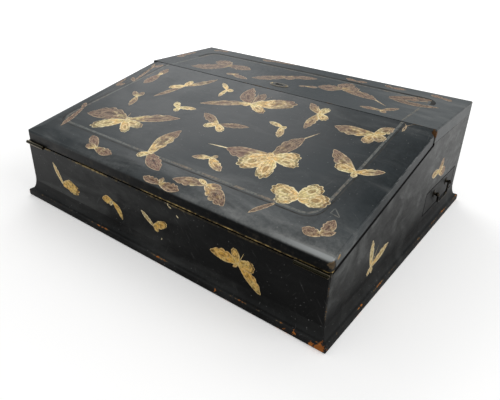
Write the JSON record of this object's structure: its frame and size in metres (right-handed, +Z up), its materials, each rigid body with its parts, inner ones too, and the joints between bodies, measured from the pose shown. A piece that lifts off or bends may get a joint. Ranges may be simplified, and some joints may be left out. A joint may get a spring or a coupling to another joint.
{
  "type": "writing slope",
  "caption": "Lacquered table writing slope with gilt butterflies: sloping lid hinged along its front edge, paper well, pen tray and ink compartments, and a shallow side drawer.",
  "frame": {"origin": "on the table, under the middle of the case", "axes": "+X to the writer's right, -Y towards the writer, +Z up"},
  "size_m": [0.414, 0.336, 0.1311],
  "materials": {
    "black_lacquer": "black lacquer over softwood, worn to a soft gloss",
    "inside_wood": "oiled plain wood",
    "brass": "aged brass",
    "steel": "dull steel",
    "lining": "dark red leather"
  },
  "bodies": {
    "case": {"front_board": "black_lacquer", "back_board": "black_lacquer", "left_side": "black_lacquer", "right_side": "black_lacquer", "bottom_board": "inside_wood", "top_board": "black_lacquer", "plinth_front": "black_lacquer", "plinth_back": "black_lacquer", "plinth_left": "black_lacquer", "plinth_right": "black_lacquer", "drawer_bay_wall": "inside_wood", "shelf": "inside_wood", "drawer_guide": "inside_wood", "drawer_stop": "inside_wood", "lid_rest_left": "inside_wood", "lid_rest_right": "inside_wood", "ink_divider_left": "inside_wood", "ink_divider_right": "inside_wood", "pen_tray": "inside_wood", "lock_plate": "brass", "lock_cap": "brass", "lock_key_pin": "steel", "lock_spring": "steel", "lock_screws": "steel", "escutcheon": "brass", "escutcheon_pins": "brass", "hinge_left_case_leaf": "brass", "hinge_right_case_leaf": "brass", "hinge_left_pin": "steel", "hinge_right_pin": "steel", "hinge_case_screws": "brass"},
    "lid": {"lid_board": "black_lacquer", "lid_lining": "lining", "strike_plate": "brass", "strike_screws": "brass", "hinge_left_lid_leaf": "brass", "hinge_right_lid_leaf": "brass", "hinge_lid_screws": "brass"},
    "drawer": {"drawer_front": "black_lacquer", "drawer_side_near": "inside_wood", "drawer_side_far": "inside_wood", "drawer_back": "inside_wood", "drawer_bottom": "inside_wood", "handle_post_near": "brass", "handle_post_far": "brass", "handle_nuts": "brass"},
    "bail": {"drawer_bail": "brass"},
    "bolt": {"lock_bolt": "brass"}
  },
  "joints": [
    {"name": "lid_hinge", "type": "hinge", "parent": "case", "child": "lid", "pos_m": [0, -0.163, 0.07031], "axis": [1, 0, 0], "range_deg": [0, 180]},
    {"name": "drawer_slide", "type": "slide", "parent": "case", "child": "drawer", "axis": [1, 0, 0], "range_m": [0, 0.2]},
    {"name": "bail_swing", "type": "hinge", "parent": "drawer", "child": "bail", "pos_m": [0.2043, 0.1, 0.0427], "axis": [0, -1, 0], "range_deg": [0, 170]},
    {"name": "bolt_throw", "type": "slide", "parent": "case", "child": "bolt", "axis": [0, -1, 0], "range_m": [0, 0.005]}
  ]
}
